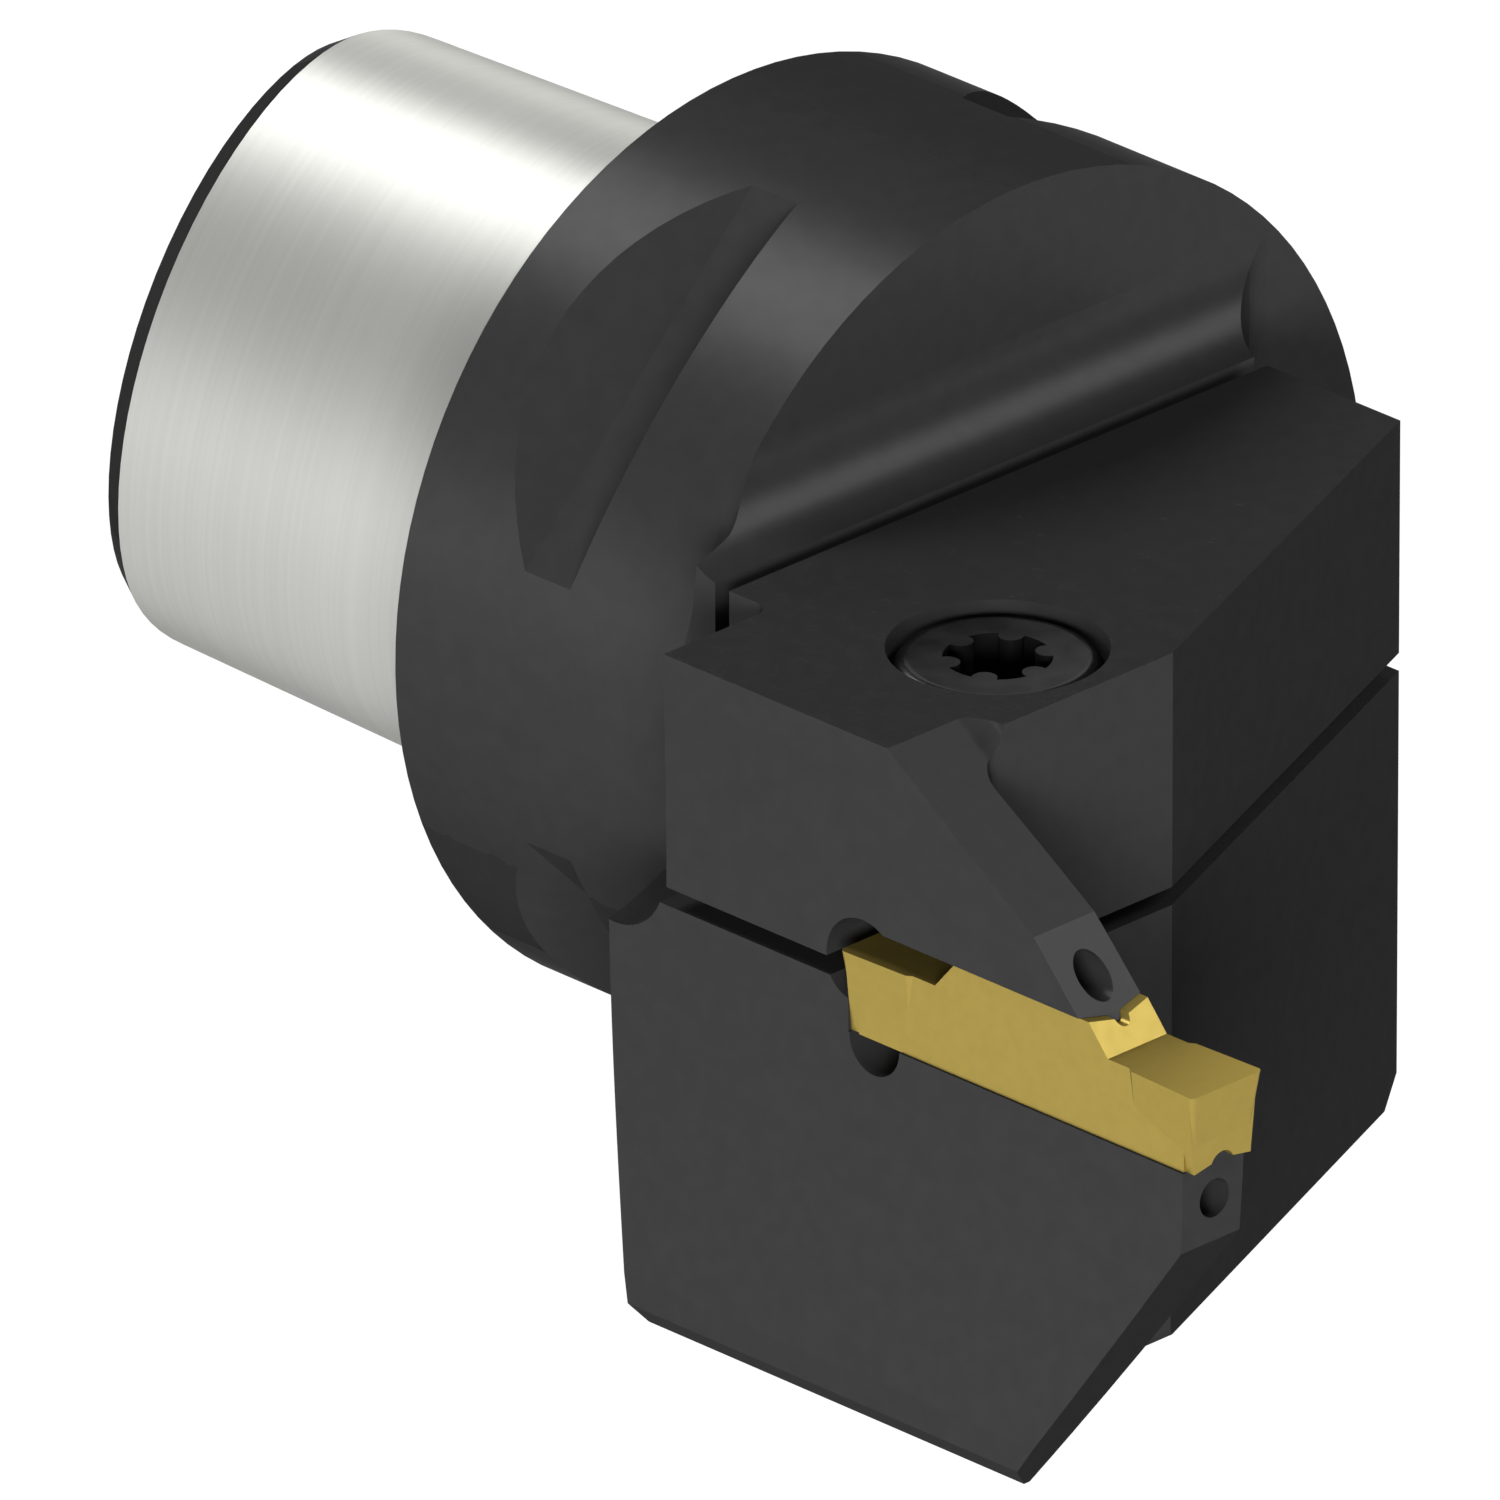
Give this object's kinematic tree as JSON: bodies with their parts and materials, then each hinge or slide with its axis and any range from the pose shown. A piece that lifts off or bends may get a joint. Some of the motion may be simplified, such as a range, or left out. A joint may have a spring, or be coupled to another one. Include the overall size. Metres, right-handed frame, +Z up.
{
  "type": "face grooving tool holder",
  "caption": "Indexable face grooving tool on a polygonal taper shank: a screw-clamped jaw on a cross pin holds a double-ended insert on a curved blade, with coolant holes above and below it",
  "frame": {"origin": "centre of the flange's rear face, the gauge face that seats on the spindle", "axes": "+X along the tool axis from the shank to the cutting edge; +Z up, with the cutting edge at z = 0; +Y completes the right-handed frame, and the blade stands out on the -Y side"},
  "size_m": [0.095, 0.0588, 0.0509],
  "materials": {
    "black_oxide": "black oxide on hardened tool steel; the shank is ground bright",
    "screw_black": "black oxide",
    "pin_steel": "ground, hardened",
    "gold_coating": "thin gold-coloured hard coating on sintered carbide",
    "seal_rubber": "matt"
  },
  "bodies": {
    "holder": {"holder_body": "black_oxide", "jaw_pivot_pin": "pin_steel", "jaw_guide_pin": "pin_steel", "jaw_lift_spring": "pin_steel", "coolant_tube": "pin_steel", "tube_seal_lower": "seal_rubber", "tube_seal_upper": "seal_rubber", "body_channel_plug": "screw_black"},
    "jaw": {"clamp_jaw": "black_oxide", "jaw_channel_plug": "screw_black"},
    "screw_carrier": {"screw_washer": "pin_steel"},
    "screw": {"clamp_screw": "screw_black"},
    "insert": {"cutting_insert": "gold_coating"}
  },
  "joints": [
    {"name": "screw_travel", "type": "slide", "parent": "holder", "child": "screw_carrier", "axis": [0, 0, 1], "range_m": [0, 0.000333]},
    {"name": "clamp_screw_turn", "type": "hinge", "parent": "screw_carrier", "child": "screw", "pos_m": [0.0388, -0.0205, 0.0117], "axis": [0, 0, 1], "range_deg": [0, 120]},
    {"name": "jaw_pivot", "type": "hinge", "parent": "holder", "child": "jaw", "pos_m": [0.0238, 0, -0.00045], "axis": [0, -1, 0], "range_deg": [0, 0.925], "deforming": ["jaw_lift_spring"]},
    {"name": "insert_slide", "type": "slide", "parent": "holder", "child": "insert", "axis": [1, 0, 0], "range_m": [0, 0.025]}
  ],
  "couplings": [
    {"joint": "clamp_screw_turn", "follows": "screw_travel", "rad_per_m": 6283.2},
    {"joint": "jaw_pivot", "follows": "screw_travel", "rad_per_m": 48.38}
  ]
}
